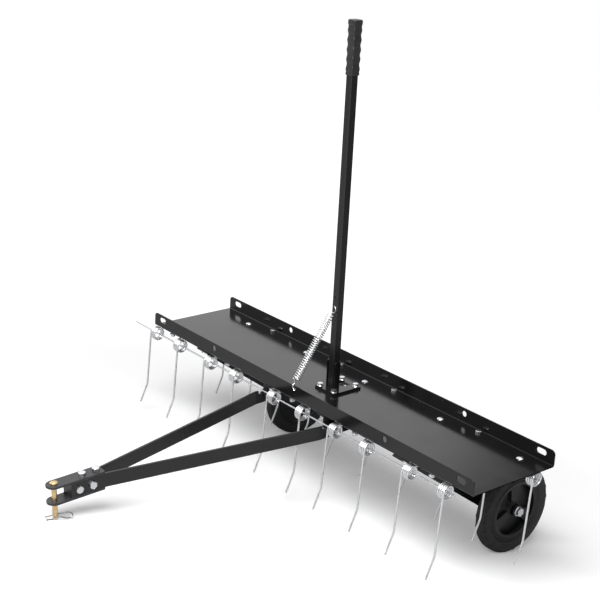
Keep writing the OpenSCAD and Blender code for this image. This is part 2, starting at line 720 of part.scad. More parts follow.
module channel_bolts() color("silver") parked() right_left()
    translate([bar_x + bar_t, tail_bolt_y, tail_bolt_z]) rotate([0, 90, 0]) bolt(bolt_d, bar_t + 3);

// Lever
lever_bolt_d = 6;
lever_bolt_z = [channel_top - 8.8, channel_top - channel_h + 8.8];
lever_foot = channel_top - channel_h;

module round_square(w, r) {
    square([w - 2 * r, w], center = true);
    square([w, w - 2 * r], center = true);
    for (x = [-1, 1], y = [-1, 1]) translate([x * (w / 2 - r), y * (w / 2 - r)]) circle(r);
}

module lift_lever() color("dimgray") parked() difference() {
    translate([0, 0, lever_foot]) linear_extrude(lever_top - 3 - lever_foot) difference() {
        round_square(lever_w, 2);
        round_square(lever_w - 2 * lever_wall, 0.8);
    }
    translate([0, -lever_w / 2, spring_hole]) rotate([90, 0, 0]) cylinder(d = 5, h = 8, center = true);
    translate([0, -lever_w / 2, spring_hole + 18.6]) rotate([90, 0, 0]) cylinder(d = 4, h = 8, center = true);
    for (z = lever_bolt_z) translate([0, 0, z]) rotate([90, 0, 0]) bolt_hole(lever_bolt_d, 30);
}

// Rubber grip with shallow lobes for the fingers, closed on top
module lever_grip() color("black") parked() difference() {
    union() {
        translate([0, 0, grip_low]) linear_extrude(grip_len) round_square(lever_w + 3, 3);
        for (i = [0:5]) translate([0, 0, grip_low + (i + 0.1) * grip_len / 6])
            linear_extrude(0.55 * grip_len / 6) round_square(lever_w + 5, 3.5);
    }
    translate([0, 0, grip_low - 1]) linear_extrude(grip_len - 2) round_square(lever_w + 0.2, 2);
}

module lever_bolts() color("silver") parked() for (z = lever_bolt_z)
    translate([0, -lever_w / 2, z]) rotate([90, 0, 0]) bolt(lever_bolt_d, lever_w + 3, washer = 0);

// Lever spring: one wire from the hook over the front flange to the hook in the lever
hook_low = [0, -half_d + sheet / 2, flange_h];
hook_high = [0, -lever_w / 2, spring_hole];
spring_line = unit(hook_high - hook_low);
spring_run = norm(hook_high - hook_low);
spring_r = (spring_d - spring_wire) / 2;
spring_body = [15, spring_run - 18];
spring_up = unit(cross([1, 0, 0], spring_line));
function on_spring(s, a, r) = hook_low + s * spring_line + r * (cos(a) * [1, 0, 0] + sin(a) * spring_up);
hook_wire = spring_wire / 2 + sheet / 2 + 0.4;
spring_route = concat(
    [hook_low + [0, -hook_wire, -10], hook_low + [0, -hook_wire, -7.5], hook_low + [0, -hook_wire, -0.5],
        hook_low + [0, -hook_wire + 1, spring_wire / 2 + 0.5], hook_low + [0, 0.7, spring_wire / 2 + 1.2],
        hook_low + [0, 3.4, spring_wire / 2 + 1.6], on_spring(spring_body[0] - 6, 90, 0.5),
        on_spring(spring_body[0] - 2, 90, spring_r * 0.6)],
    [for (k = [0:6 * spring_turns]) let (u = k / (6 * spring_turns))
        on_spring(spring_body[0] + u * (spring_body[1] - spring_body[0]), 90 + 60 * k, spring_r)],
    [on_spring(spring_body[1] + 2, 150, spring_r * 0.6), on_spring(spring_body[1] + 6, 90, 0.5),
        hook_high + [0, -5, 0], hook_high + [0, -2.5, 0], hook_high + [0, lever_wall + 2.5, 0]]);
echo(str("lever spring: least gap of the wire to itself ", least_gap(spring_route, spring_wire), " mm"));

module lever_spring() color("silver") parked() wire_tube(spring_route, spring_wire);

tray_floor();
tray_flange_front();
tray_flange_rear();
guide_plate();
guide_plate_bolts();
pivot_bracket_left();
pivot_bracket_right();
pivot_bracket_bolts();
hinge_bolts();
wheel_bracket_left();
wheel_bracket_right();
wheel_bracket_bolts();
axle_bolt_left();
axle_bolt_right();
tine_rod_front();
tine_rod_rear();
tine_bolts_front();
tine_bolts_rear();
tine_front_1();
tine_front_2();
tine_front_3();
tine_front_4();
tine_front_5();
tine_rear_1();
tine_rear_2();
tine_rear_3();
tine_rear_4();
tine_rear_5();
wheel_rim_left();
wheel_rim_right();
wheel_tyre_left();
wheel_tyre_right();
drawbar_left();
drawbar_right();
cross_channel();
channel_bolts();
hitch_strap_top();
hitch_strap_bottom();
hitch_spacer();
hitch_side_bolts();
hitch_strap_bolts();
lift_lever();
lever_grip();
lever_bolts();
lever_spring();
hitch_pin();
hitch_clip();
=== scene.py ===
"""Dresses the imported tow-behind dethatcher with its finishes, wires and studio."""

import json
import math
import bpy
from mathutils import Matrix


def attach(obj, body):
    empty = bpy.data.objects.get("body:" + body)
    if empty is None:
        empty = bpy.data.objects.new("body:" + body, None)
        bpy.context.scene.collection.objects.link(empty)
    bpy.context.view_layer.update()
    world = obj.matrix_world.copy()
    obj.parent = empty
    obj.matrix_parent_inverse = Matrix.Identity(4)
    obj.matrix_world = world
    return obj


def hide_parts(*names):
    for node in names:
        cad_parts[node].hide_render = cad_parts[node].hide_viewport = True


bl_info = {
    "name": "Tow-behind dethatcher",
    "version": (1, 0, 0),
    "blender": (4, 5, 0),
    "location": "3D View > Sidebar > Dethatcher",
    "description": "Builds the visible pieces and finishes of a tow-behind dethatcher",
    "category": "Object",
}

import bmesh
import bpy
from bpy.props import FloatProperty, FloatVectorProperty, IntProperty, PointerProperty
from mathutils import Matrix, Vector

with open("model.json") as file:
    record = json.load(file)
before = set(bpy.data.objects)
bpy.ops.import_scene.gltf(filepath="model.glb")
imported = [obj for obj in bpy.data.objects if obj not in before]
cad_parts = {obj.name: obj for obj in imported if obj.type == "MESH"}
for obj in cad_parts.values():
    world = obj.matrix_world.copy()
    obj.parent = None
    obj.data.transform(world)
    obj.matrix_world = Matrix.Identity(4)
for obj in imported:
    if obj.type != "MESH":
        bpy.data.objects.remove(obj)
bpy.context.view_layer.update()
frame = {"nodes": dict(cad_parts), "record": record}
NODE_SLOTS = {row["node"]: row["material_slot"] for row in frame["record"]["subparts"]}
NODE_BODIES = {n: b for b, members in frame["record"]["behaviour"]["bodies"].items() for n in members}

# The tray's own frame in millimetres, and where it stands when the machine is parked
TILT = math.radians(11.721427)
PARKED = (
    Matrix.Translation((0.0385, 0.159782, 0.238449))
    @ Matrix.Rotation(TILT, 4, "X")
    @ Matrix.Scale(0.001, 4)
)

# Places on the tray: the seams where the CAD cuts the pressing, the rows, rods, wheels and grip
SEAM_Y, FLOOR_UNDERSIDE = 104.0, -2.0
FRONT_ROW_Y, REAR_ROW_Y, ROW_Z = -108.0, 68.0, -19.0
REAR_TINES = (450.0, 238.5, 13.0, -182.0, -395.0)
FRONT_TINES = tuple(-x for x in REAR_TINES)
FRONT_ROD, REAR_ROD, ROD_Z = (-585.0, 465.0), (-545.0, 505.0), -18.0
HUB_X, HUB_Y, HUB_Z = 342.5, 200.0, -188.0
GRIP_LOW, GRIP_HIGH, GRIP_WAVE, GRIP_WAVE_DEPTH = 651.0, 757.0, 18.5, 0.55

# Bolts on the tray, their thread diameters, and their heads as (width, height)
FRONT_BOLTS_Y, REAR_BOLTS_Y = -97.5, 78.5
PLATE_MIDDLE, PLATE_BOLTS, PLATE_TOP = (7.0, 7.5), (21.5, 30.0), 5.0
PIVOT_BOLTS_X, WHEEL_BOLTS_X, BRACKET_BOLTS_Y = 84.0, 326.0, 95.5
M6, M8 = 6.0, 8.0
FRONT_DOME, REAR_DOME = (14.4, 3.2), (15.0, 3.2)
PLATE_HEX, BRACKET_HEX, HITCH_HEX = (10.4, 3.9), (10.4, 4.8), (13.0, 5.0)

# One tine: how far out its two coils are, the air between their turns, and the tooth's leg and tip
COIL_OUT, COIL_GAP, LEG, TIP = 46.6, 0.75, 123.0, 45.7
LEG_LEAN, TIP_BEND, TOOTH_CORNER = math.radians(3.7), math.radians(23.2), 26.0

# The lever spring: where its hooks hold, its outer diameter and the length of each hook
SPRING_LOW, SPRING_HIGH = Vector((0, -107, 30)), Vector((0, -8.5, 181.4))
SPRING_ACROSS, LOW_HOOK, HIGH_HOOK = 16.4, 11.5, 18.5

# The towbar's frame, pitched about its hinge, and the hitch at its end
HINGE_Y, HINGE_Z = -92.0, -32.2
BAR_PITCH = math.radians(2.4)
ON_BAR = PARKED @ Matrix.Translation((0, HINGE_Y, HINGE_Z)) @ Matrix.Rotation(BAR_PITCH, 4, "X")
SIDE_BOLTS_Y, BAR_FACE_X = (-520.0, -492.0), 15.0
STRAP_BOLTS_Y, STRAP_TOP_Z = (-505.0, -476.0), 18.5
PIN_REACH, CLIP_Z, CLIP_TURN = 563.0, -44.3, math.radians(80)

# The studio in metres
CAMERA_PLACE, CAMERA_LENS = (1.95024, -1.730362, 0.951353), 79.94
CAMERA_BACK, CAMERA_UP = (0.723283, -0.661195, 0.199207), (-0.285275, -0.023386, 0.95816)
SOFTBOX_PLACE, SOFTBOX_TARGET = (1.4, -2.5, 2.6), (0, 0.1, 0.1)
SOFTBOX_SIZE, SOFTBOX_WATTS = (2.4, 1.6), 225
WHITE = (1, 1, 1, 1)


def linear(code):
    """Turn an sRGB hex colour into linear red, green and blue."""
    parts = (int(code[i : i + 2], 16) / 255 for i in (1, 3, 5))
    return tuple(c / 12.92 if c <= 0.04045 else ((c + 0.055) / 1.055) ** 2.4 for c in parts)


def colour(name, words, code):
    """A colour property with its sRGB default."""
    return FloatVectorProperty(
        name=name, description=words, subtype="COLOR", size=3, min=0, max=1, default=linear(code)
    )


def decimal(name, words, default, **limits):
    """A decimal property with its default."""
    return FloatProperty(name=name, description=words, default=default, **limits)


def whole(name, words, default, **limits):
    """A whole-number property with its default."""
    return IntProperty(name=name, description=words, default=default, **limits)


class DethatcherSizes(bpy.types.PropertyGroup):
    """Sizes of the pieces drawn here"""

    tine_wire: decimal("Tine wire", "Diameter of the tines' spring wire in mm", 4.0, min=3, max=4.4)
    coil_radius: decimal("Coil radius", "Radius of a tine's coils at the wire's middle, in mm", 13.2)
    coil_turns: decimal("Coil turns", "Turns in each coil of a tine", 3.25)
    spring_turns: whole("Lever spring turns", "Turns of the spring, drawn open", 31, min=20, max=60)
    spring_wire: decimal("Lever spring wire", "Diameter of the lever spring's wire in mm", 2.2)
    rod_wire: decimal("Tine rods", "Diameter of the tine rods in mm", 3.6)
    clip_wire: decimal("Clip wire", "Diameter of the clip's wire in mm", 2.4)
    edge: decimal("Steel edge", "Rounding of sheared and coated edges in mm", 0.5, min=0.1, max=1)
    tread_lugs: whole("Tread lugs", "Lugs on each shoulder of a tyre", 24, min=12, max=36)


class DethatcherColours(bpy.types.PropertyGroup):
    """Colours of the finishes and of the floor"""

    tray: colour("Tray", "Gloss black powder coat of the tray and guide plate", "#111112")
    bars: colour("Bars", "Black powder coat of the towbar, lever and brackets", "#161617")
    straps: colour("Straps", "Thicker, greyer coat of the two hitch straps", "#2b2b2d")
    zinc: colour("Zinc", "Bright zinc plate of bolts and rods", "#e6e7ea")
    wire: colour("Spring wire", "Zinc-plated spring wire", "#eeeff0")
    # The clip's wire is a darker copy of the spring wire: painted shade, not oil.
    painted_shade_wire: colour("Clip wire with painted shade", "Zinc-plated wire of the clip, darkened as painted shade", "#a2a4a7")
    yellow: colour("Yellow zinc", "Yellow chromate on the hitch pin", "#e9cc9a")
    tyre: colour("Tyre", "Carbon-black tyre rubber", "#2a2a2c")
    rim: colour("Rim", "Black moulded plastic of the rims", "#19191a")
    grip: colour("Grip", "Soft black sleeve on the lever", "#131314")
    floor: colour("Floor", "Pale studio floor", "#f4f4f5")


def add(nodes, kind, values=None, links=None, **settings):
    """Add one node, set its properties and input values, and link its inputs.

    A Mix node's sockets go by number: 0 is the factor, 2 and 3 the two values, 6 and 7 the two colours.
    """
    made = nodes.new(kind)
    for name, value in settings.items():
        setattr(made, name, value)
    for name, value in (values or {}).items():
        made.inputs[name].default_value = value
    for name, source in (links or {}).items():
        made.id_data.links.new(source, made.inputs[name])
    return made


def blank_material(name, base, roughness, metallic=0.0, **sockets):
    """A material with a Principled shader, its node list, and Object coordinates in metres."""
    made = bpy.data.materials.new(name)
    made.use_nodes = True
    nodes = made.node_tree.nodes
    nodes.clear()
    values = {"Base Color": (*base, 1), "Roughness": roughness, "Metallic": metallic}
    shader = add(nodes, "ShaderNodeBsdfPrincipled", values)
    for socket, value in sockets.items():
        shader.inputs[socket.replace("_", " ")].default_value = value
    add(nodes, "ShaderNodeOutputMaterial", links={"Surface": shader.outputs["BSDF"]})
    place = add(nodes, "ShaderNodeTexCoord").outputs["Object"]
    return made, nodes, shader, place


def per_mm(millimetres):
    """The texture scale at which one feature is that many millimetres across."""
    return 1000.0 / millimetres


def varied(nodes, shader, place, base, spread, patch_mm, rough):
    """Let the colour wander by a share of itself over patches, and the roughness within two values."""
    noise = add(nodes, "ShaderNodeTexNoise", {"Scale": per_mm(patch_mm), "Detail": 4.0}, {"Vector": place})
    low = tuple(c * (1 - spread) for c in base)
    high = tuple(min(1.0, c * (1 + spread)) for c in base)
    mix = add(
        nodes,
        "ShaderNodeMix",
        {6: (*low, 1), 7: (*high, 1)},
        {0: noise.outputs["Fac"]},
        data_type="RGBA",
    )
    shader.id_data.links.new(mix.outputs[2], shader.inputs["Base Color"])
    spread_map = add(
        nodes,
        "ShaderNodeMapRange",
        {"To Min": rough[0], "To Max": rough[1], "From Min": 0.3, "From Max": 0.7},
        {"Value": noise.outputs["Fac"]},
    )
    shader.id_data.links.new(spread_map.outputs["Result"], shader.inputs["Roughness"])


def bumped(nodes, shader, height, strength, depth_mm):
    """Raise the surface by a height map whose full range is the given depth."""
    values = {"Strength": strength, "Distance": depth_mm / 1000}
    bump = add(nodes, "ShaderNodeBump", values, {"Height": height})
    shader.id_data.links.new(bump.outputs["Normal"], shader.inputs["Normal"])


def powder_coat(name, base, roughness, peel_mm, depth_mm):
    """Baked polyester powder on steel: a sealed skin with fine orange peel, hardly any colour change."""
    made, nodes, shader, place = blank_material(name, base, roughness[0])
    varied(nodes, shader, place, base, spread=0.12, patch_mm=60.0, rough=roughness)
    peel = add(nodes, "ShaderNodeTexNoise", {"Scale": per_mm(peel_mm), "Detail": 2.0}, {"Vector": place})
    bumped(nodes, shader, peel.outputs["Fac"], strength=0.5, depth_mm=depth_mm)
    return made


def zinc_plate(name, base):
    """Electroplated zinc with clear chromate: bright cool metal, softly clouded by handling."""
    made, nodes, shader, place = blank_material(name, base, roughness=0.22, metallic=1.0)
    varied(nodes, shader, place, base, spread=0.10, patch_mm=9.0, rough=(0.22, 0.36))
    grain = add(nodes, "ShaderNodeTexNoise", {"Scale": per_mm(0.8), "Detail": 3.0}, {"Vector": place})
    bumped(nodes, shader, grain.outputs["Fac"], strength=0.35, depth_mm=0.03)
    return made


def drawn_wire(name, base):
    """Zinc-plated drawn spring wire: bright fine-grained metal, dull where it is rubbed; its darker copy
    for the clip is painted shade.
    """
    made, nodes, shader, place = blank_material(name, base, roughness=0.3, metallic=1.0)
    varied(nodes, shader, place, base, spread=0.08, patch_mm=14.0, rough=(0.24, 0.42))
    grain = add(nodes, "ShaderNodeTexNoise", {"Scale": per_mm(0.6), "Detail": 2.0}, {"Vector": place})
    bumped(nodes, shader, grain.outputs["Fac"], strength=0.3, depth_mm=0.03)
    return made


def yellow_chromate(name, base):
    """Zinc under yellow chromate: warm straw metal with faint rose and green clouds."""
    made, nodes, shader, place = blank_material(name, base, roughness=0.34, metallic=1.0)
    noise = add(nodes, "ShaderNodeTexNoise", {"Scale": per_mm(7.0), "Detail": 3.0}, {"Vector": place})
    ramp = add(nodes, "ShaderNodeValToRGB", links={"Fac": noise.outputs["Fac"]})
    tones = ramp.color_ramp.elements
    tones[0].position, tones[0].color = 0.3, (*linear("#e2bd88"), 1)
    tones[1].position, tones[1].color = 0.7, (*linear("#efdaae"), 1)
    middle = tones.new(0.5)
    middle.color = (*base, 1)
    shader.id_data.links.new(ramp.outputs["Color"], shader.inputs["Base Color"])
    grain = add(nodes, "ShaderNodeTexNoise", {"Scale": per_mm(0.7), "Detail": 2.0}, {"Vector": place})
    bumped(nodes, shader, grain.outputs["Fac"], strength=0.3, depth_mm=0.03)
    return made


def tyre_rubber(name, base):
    """Cured tyre rubber: dark, dull and faintly dusty, with the mould's fine texture."""
    made, nodes, shader, place = blank_material(name, base, roughness=0.62)
    varied(nodes, shader, place, base, spread=0.22, patch_mm=22.0, rough=(0.5, 0.72))
    skin = add(nodes, "ShaderNodeTexNoise", {"Scale": per_mm(0.9), "Detail": 3.0}, {"Vector": place})
    bumped(nodes, shader, skin.outputs["Fac"], strength=0.5, depth_mm=0.12)
    return made


def moulded_plastic(name, base):
    """Injection-moulded polypropylene: black with a satin spark-eroded skin."""
    made, nodes, shader, place = blank_material(name, base, roughness=0.42)
    varied(nodes, shader, place, base, spread=0.15, patch_mm=30.0, rough=(0.36, 0.5))
    grain = add(nodes, "ShaderNodeTexVoronoi", {"Scale": per_mm(0.7)}, {"Vector": place})
    bumped(nodes, shader, grain.outputs["Distance"], strength=0.25, depth_mm=0.05)
    return made


def dipped_vinyl(name, base):
    """Soft dipped vinyl sleeve: black, half-matt, with a fine pebbled skin."""
    made, nodes, shader, place = blank_material(name, base, roughness=0.45, Sheen_Weight=0.15)
    varied(nodes, shader, place, base, spread=0.2, patch_mm=25.0, rough=(0.38, 0.55))
    pebbles = add(nodes, "ShaderNodeTexVoronoi", {"Scale": per_mm(1.1)}, {"Vector": place})
    bumped(nodes, shader, pebbles.outputs["Distance"], strength=0.4, depth_mm=0.12)
    return made


def finishes():
    """All finishes, made once, by the record's slot; the clip takes the darker wire, which is painted
    shade, by its name.
    """
    if "gloss powder coat" not in bpy.data.materials:
        tones = bpy.context.scene.dethatcher_colours
        coats = (
            ("gloss powder coat", tones.tray, (0.13, 0.2), 2.2, 0.012),
            ("semi-gloss powder coat", tones.bars, (0.26, 0.36), 1.6, 0.03),
            ("satin powder coat", tones.straps, (0.34, 0.46), 1.3, 0.05),
        )
        for name, tone, roughness, peel_mm, depth_mm in coats:
            powder_coat(name, tuple(tone), roughness, peel_mm, depth_mm)
        zinc_plate("bright zinc plate", tuple(tones.zinc))
        drawn_wire("zinc-plated spring wire", tuple(tones.wire))
        # A darker copy of the spring wire, painted shade for the clip.
        drawn_wire("spring wire darkened as painted shade", tuple(tones.painted_shade_wire))
        yellow_chromate("yellow chromate zinc", tuple(tones.yellow))
        tyre_rubber("tyre rubber", tuple(tones.tyre))
        moulded_plastic("moulded polypropylene", tuple(tones.rim))
        dipped_vinyl("dipped vinyl", tuple(tones.grip))
    names = {
        "black_paint": "gloss powder coat",
        "bar_paint": "semi-gloss powder coat",
        "strap_paint": "satin powder coat",
        "zinc": "bright zinc plate",
        "spring_wire": "zinc-plated spring wire",
        "yellow_zinc": "yellow chromate zinc",
        "tyre": "tyre rubber",
        "rim_plastic": "moulded polypropylene",
        "grip_rubber": "dipped vinyl",
    }
    return {slot: bpy.data.materials[name] for slot, name in names.items()}


def put_in_place(made, name, nodes, smooth=40.0, body=None):
    """Give a finished mesh its name, finish, shading and body, and let it stand for its CAD nodes."""
    slot = NODE_SLOTS[nodes[0]]
    made.name = name
    made.data.name = name
    made.data.materials.clear()
    made.data.materials.append(finishes()[slot])
    made.data.shade_smooth()
    made.data.set_sharp_from_angle(angle=math.radians(smooth))
    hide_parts(*nodes)
    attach(made, body or NODE_BODIES[nodes[0]])
    return made


def as_object(bm, name):
    """Turn a bmesh into a linked object of that name, and free it."""
    data = bpy.data.meshes.new(name)
    bm.to_mesh(data)
    bm.free()
    made = bpy.data.objects.new(name, data)
    bpy.context.scene.collection.objects.link(made)
    return made


def mesh_piece(bm, name, nodes, place=PARKED, smooth=40.0):
    """Turn a bmesh drawn in millimetres into a piece in the row frame."""
    bmesh.ops.remove_doubles(bm, verts=bm.verts, dist=0.001)
    bmesh.ops.transform(bm, matrix=place, verts=bm.verts)
    bmesh.ops.recalc_face_normals(bm, faces=bm.faces)
    return put_in_place(as_object(bm, name), name, nodes, smooth)


def bevelled(made, words, width, segments=2, over=50):
    """Round the edges sharper than some degrees, by a width in millimetres."""
    bevel = made.modifiers.new(words, "BEVEL")
    bevel.width = width / 1000
    bevel.segments = segments
    bevel.limit_method = "ANGLE"
    bevel.angle_limit = math.radians(over)


def kept_flat(made):
    """Shade flat faces flat right up to their bevels."""
    flat = made.modifiers.new("flat faces stay flat", "WEIGHTED_NORMAL")
    flat.mode = "FACE_AREA"
    flat.weight = 100
    flat.keep_sharp = True


def eased(nodes, width, segments=2, smooth=35.0, seam_y=None):
    """A merged copy of CAD nodes whose sheared edges are rounded as their coat leaves them."""
    nodes = [nodes] if isinstance(nodes, str) else nodes
    bm = bmesh.new()
    for node in nodes:
        bm.from_mesh(frame["nodes"][node].data)
    if seam_y:
        into_tray = PARKED.inverted()

        def at_seam(vert):
            return abs(abs((into_tray @ vert.co).y) - seam_y) < 0.01

        inner = [face for face in bm.faces if all(at_seam(vert) for vert in face.verts)]
        bmesh.ops.delete(bm, geom=inner, context="FACES_ONLY")
    bmesh.ops.remove_doubles(bm, verts=bm.verts, dist=1e-6)
    bmesh.ops.dissolve_limit(bm, angle_limit=math.radians(0.5), verts=bm.verts, edges=bm.edges)
    name = "finished_" + (nodes[0] if len(nodes) == 1 else "tray")
    made = put_in_place(as_object(bm, name), name, nodes, smooth)
    bevelled(made, "eased edges", width, segments, over=40)
    kept_flat(made)


def through(points, per):
    """A smooth line through the given points, as a Catmull-Rom curve with some steps per point."""
    ends = [points[0] * 2 - points[1], *points, points[-1] * 2 - points[-2]]
    line = []
    for a, b, c, d in zip(ends, ends[1:], ends[2:], ends[3:]):
        for k in range(per):
            t = k / per
            square, cube = 2 * a - 5 * b + 4 * c - d, 3 * b - a - 3 * c + d
            line.append(0.5 * (2 * b + (c - a) * t + square * t**2 + cube * t**3))
    return line + [points[-1]]


def cornered(points, radius, steps):
    """A line of straight runs whose corners are rounded with one radius, in some steps."""
    line = [points[0]]
    for a, b, c in zip(points, points[1:], points[2:]):
        before, after = (b - a).normalized(), (c - b).normalized()
        turn = before.angle(after)
        cut = min(radius * math.tan(turn / 2), 0.49 * (b - a).length, 0.49 * (c - b).length)
        start, end = b - before * cut, b + after * cut
        for k in range(steps + 1):
            t = k / steps
            line.append(start * (1 - t) ** 2 + b * 2 * t * (1 - t) + end * t**2)
    return line + [points[-1]]


def wire_mesh(name, route, diameter, place, sides=2):
    """A round wire along a route in millimetres, as a mesh in the row frame; more sides are rounder."""
    data = bpy.data.curves.new(name, "CURVE")
    data.dimensions = "3D"
    spline = data.splines.new("POLY")
    spline.points.add(len(route) - 1)
    for point, p in zip(spline.points, route):
        point.co = (*(place @ Vector(p)), 1)
    data.bevel_depth = diameter / 2000
    data.bevel_resolution = sides
    data.use_fill_caps = True
    drawn = bpy.data.objects.new(name, data)
    bpy.context.scene.collection.objects.link(drawn)
    bpy.context.view_layer.update()
    mesh = bpy.data.meshes.new_from_object(drawn.evaluated_get(bpy.context.evaluated_depsgraph_get()))
    bpy.data.objects.remove(drawn)
    bpy.data.curves.remove(data)
    bm = bmesh.new()
    bm.from_mesh(mesh)
    bmesh.ops.remove_doubles(bm, verts=bm.verts, dist=1e-7)
    bmesh.ops.recalc_face_normals(bm, faces=bm.faces)
    bm.to_mesh(mesh)
    bm.free()
    made = bpy.data.objects.new(name, mesh)
    bpy.context.scene.collection.objects.link(made)
    return made


class DETHATCHER_OT_sheet_steel(bpy.types.Operator):
    """Tray, guide plate, brackets, cross channel, bars and hitch straps with eased, coated edges"""

    bl_idname = "dethatcher.sheet_steel"
    bl_label = "Sheet steel"

    def execute(self, context):
        edge = context.scene.dethatcher_sizes.edge
        eased(["tray_floor", "tray_flange_front", "tray_flange_rear"], edge * 0.9, seam_y=SEAM_Y)
        for kind in ("wheel_bracket", "pivot_bracket"):
            for side in ("left", "right"):
                eased(f"{kind}_{side}", edge * 0.9)
        for node in ("guide_plate", "cross_channel", "drawbar_left", "drawbar_right"):
            eased(node, edge)
        for node in ("hitch_strap_top", "hitch_strap_bottom", "hitch_spacer"):
            eased(node, edge * 1.2, segments=3)
        return {"FINISHED"}


def bolts(name, node, spots, d, head, grip, washer=0.0, nut=True, domed=False):
    """Hexagon or domed bolts along -Z from each spot's clamped face.

    A head is (width, height), and the grip is how much the bolt clamps.
    """
    bm = bmesh.new()
    to_corner = 1 / 2 / math.cos(math.radians(30))
    washer_steel, nut_height, nut_across = 1.6, 0.75 * d, 1.63 * d

    def disc(spot, radius, low, high, sides, top=1.0):
        bmesh.ops.create_cone(
            bm,
            cap_ends=True,
            segments=sides,
            radius1=radius,
            radius2=radius * top,
            depth=high - low,
            matrix=spot @ Matrix.Translation((0, 0, (low + high) / 2)),
        )

    across, height = head
    seat = washer_steel if washer else 0.0
    shoulder = seat + height * 0.86
    for spot in spots:
        if washer:
            disc(spot, washer / 2, 0.0, washer_steel, 32, 0.84)
        if domed:
            dome = bmesh.ops.create_uvsphere(bm, u_segments=32, v_segments=16, radius=1)["verts"]
            for vert in dome:
                vert.co.z = max(vert.co.z, 0)
            size = Matrix.Diagonal((across / 2, across / 2, height, 1))
            bmesh.ops.transform(bm, matrix=spot @ size, verts=dome)
        else:
            disc(spot, across * to_corner, seat, shoulder, 6)
            disc(spot, across * to_corner * 0.97, shoulder, seat + height, 24, 0.86)
        if nut:
            under = -grip - washer_steel
            disc(spot, d / 2, under - 0.95 * d, seat, 20)
            disc(spot, 1.05 * d, under, -grip, 32)
            disc(spot, nut_across * to_corner, under - nut_height, under, 6)
        else:
            disc(spot, d / 2, -grip, seat, 20)
    made = mesh_piece(bm, name, [node], Matrix.Identity(4), smooth=30)
    bevelled(made, "eased edges", width=0.3)
    kept_flat(made)


def spots_at(frame_of, points, turn=None, spin=0.0):
    """Places for bolts in a frame, each given a slightly different turn of its head."""
    turn = turn or Matrix.Identity(4)
    found = []
    for i, point in enumerate(points):
        twist = Matrix.Rotation(math.radians(spin + 23 * i), 4, "Z")
        found.append(frame_of @ Matrix.Translation(point) @ turn @ twist)
    return found


class DETHATCHER_OT_fasteners(bpy.types.Operator):
    """Bolts, washers, nuts and the two tine rods in bright zinc"""

    bl_idname = "dethatcher.fasteners"
    bl_label = "Fasteners"

    def execute(self, context):
        for node in ("hinge_bolts", "axle_bolt_left", "axle_bolt_right", "channel_bolts", "lever_bolts"):
            eased(node, width=0.4)
        rod_wire = context.scene.dethatcher_sizes.rod_wire
        for row, reach, y in (("front", FRONT_ROD, FRONT_ROW_Y), ("rear", REAR_ROD, REAR_ROW_Y)):
            ends = [Vector((x, y, ROD_Z)) for x in reach]
            rod = wire_mesh(f"coil_rod_{row}", ends, rod_wire, PARKED, sides=4)
            put_in_place(rod, rod.name, [f"tine_rod_{row}"], smooth=60)
        sideways = Matrix.Rotation(math.pi / 2, 4, "Y")
        front = spots_at(PARKED, [(x, FRONT_BOLTS_Y, 0) for x in FRONT_TINES], spin=8)
        rear = spots_at(PARKED, [(x, REAR_BOLTS_Y, 0) for x in REAR_TINES], spin=17)
        bolts("tine_bolts_in_front", "tine_bolts_front", front, M6, FRONT_DOME, grip=6.4, domed=True)
        bolts("tine_bolts_behind", "tine_bolts_rear", rear, M6, REAR_DOME, grip=6.4, domed=True)
        corners = [(i, j) for i in (-1, 1) for j in (-1, 1)]
        (mid_x, mid_y), (out_x, out_y) = PLATE_MIDDLE, PLATE_BOLTS
        places = [(mid_x + i * out_x, mid_y + j * out_y, PLATE_TOP) for i, j in corners]
        plate = spots_at(PARKED, places, spin=5)
        bolts("plate_bolts", "guide_plate_bolts", plate, M6, PLATE_HEX, grip=7, washer=13)
        for node, x in (("pivot_bracket_bolts", PIVOT_BOLTS_X), ("wheel_bracket_bolts", WHEEL_BOLTS_X)):
            places = [(i * x, j * BRACKET_BOLTS_Y, 0) for i, j in corners]
            spots = spots_at(PARKED, places, spin=12)
            bolts("hex_" + node, node, spots, M8, BRACKET_HEX, grip=5)
        across = spots_at(ON_BAR, [(BAR_FACE_X, y, 0) for y in SIDE_BOLTS_Y], sideways, spin=10)
        bolts("side_bolts", "hitch_side_bolts", across, M8, HITCH_HEX, grip=30)
        above = spots_at(ON_BAR, [(0, y, STRAP_TOP_Z) for y in STRAP_BOLTS_Y], spin=20)
        bolts("strap_bolts", "hitch_strap_bolts", above, M8, HITCH_HEX, grip=37, nut=False)
        return {"FINISHED"}


def tine_route(sizes):
    """One double tine from tip to tip, about the middle of its coils."""
    radius, wire = sizes.coil_radius, sizes.tine_wire
    length = sizes.coil_turns * (wire + COIL_GAP)
    outer, inner = COIL_OUT + length / 2, COIL_OUT - length / 2

    def leg(along):
        return Vector((outer, -radius - along * math.sin(LEG_LEAN), -along * math.cos(LEG_LEAN)))

    tip = leg(LEG) + Vector((0, -TIP * math.sin(TIP_BEND), -TIP * math.cos(TIP_BEND)))
    tooth = cornered([tip, leg(LEG), leg(0)], TOOTH_CORNER, steps=8)[:-1]
    steps = round(28 * sizes.coil_turns)
    coil = []
    for k in range(steps + 1):
        part = k / steps
        angle = math.pi - 2 * math.pi * sizes.coil_turns * part
        coil.append(Vector((outer - length * part, radius * math.cos(angle), radius * math.sin(angle))))
    under = FLOOR_UNDERSIDE - ROW_Z - wire / 2 - 0.3
    bow = [(inner - 1.2, 5, radius + 1.1), (inner - 5.5, 9.6, under)]
    bow += [(15, 13.4, under), (5, 15.8, under), (0, 16.2, under)]
    half = tooth + coil + through([coil[-1], *(Vector(spot) for spot in bow)], 6)[1:]
    return half + [Vector((-p.x, p.y, p.z)) for p in reversed(half[:-1])]


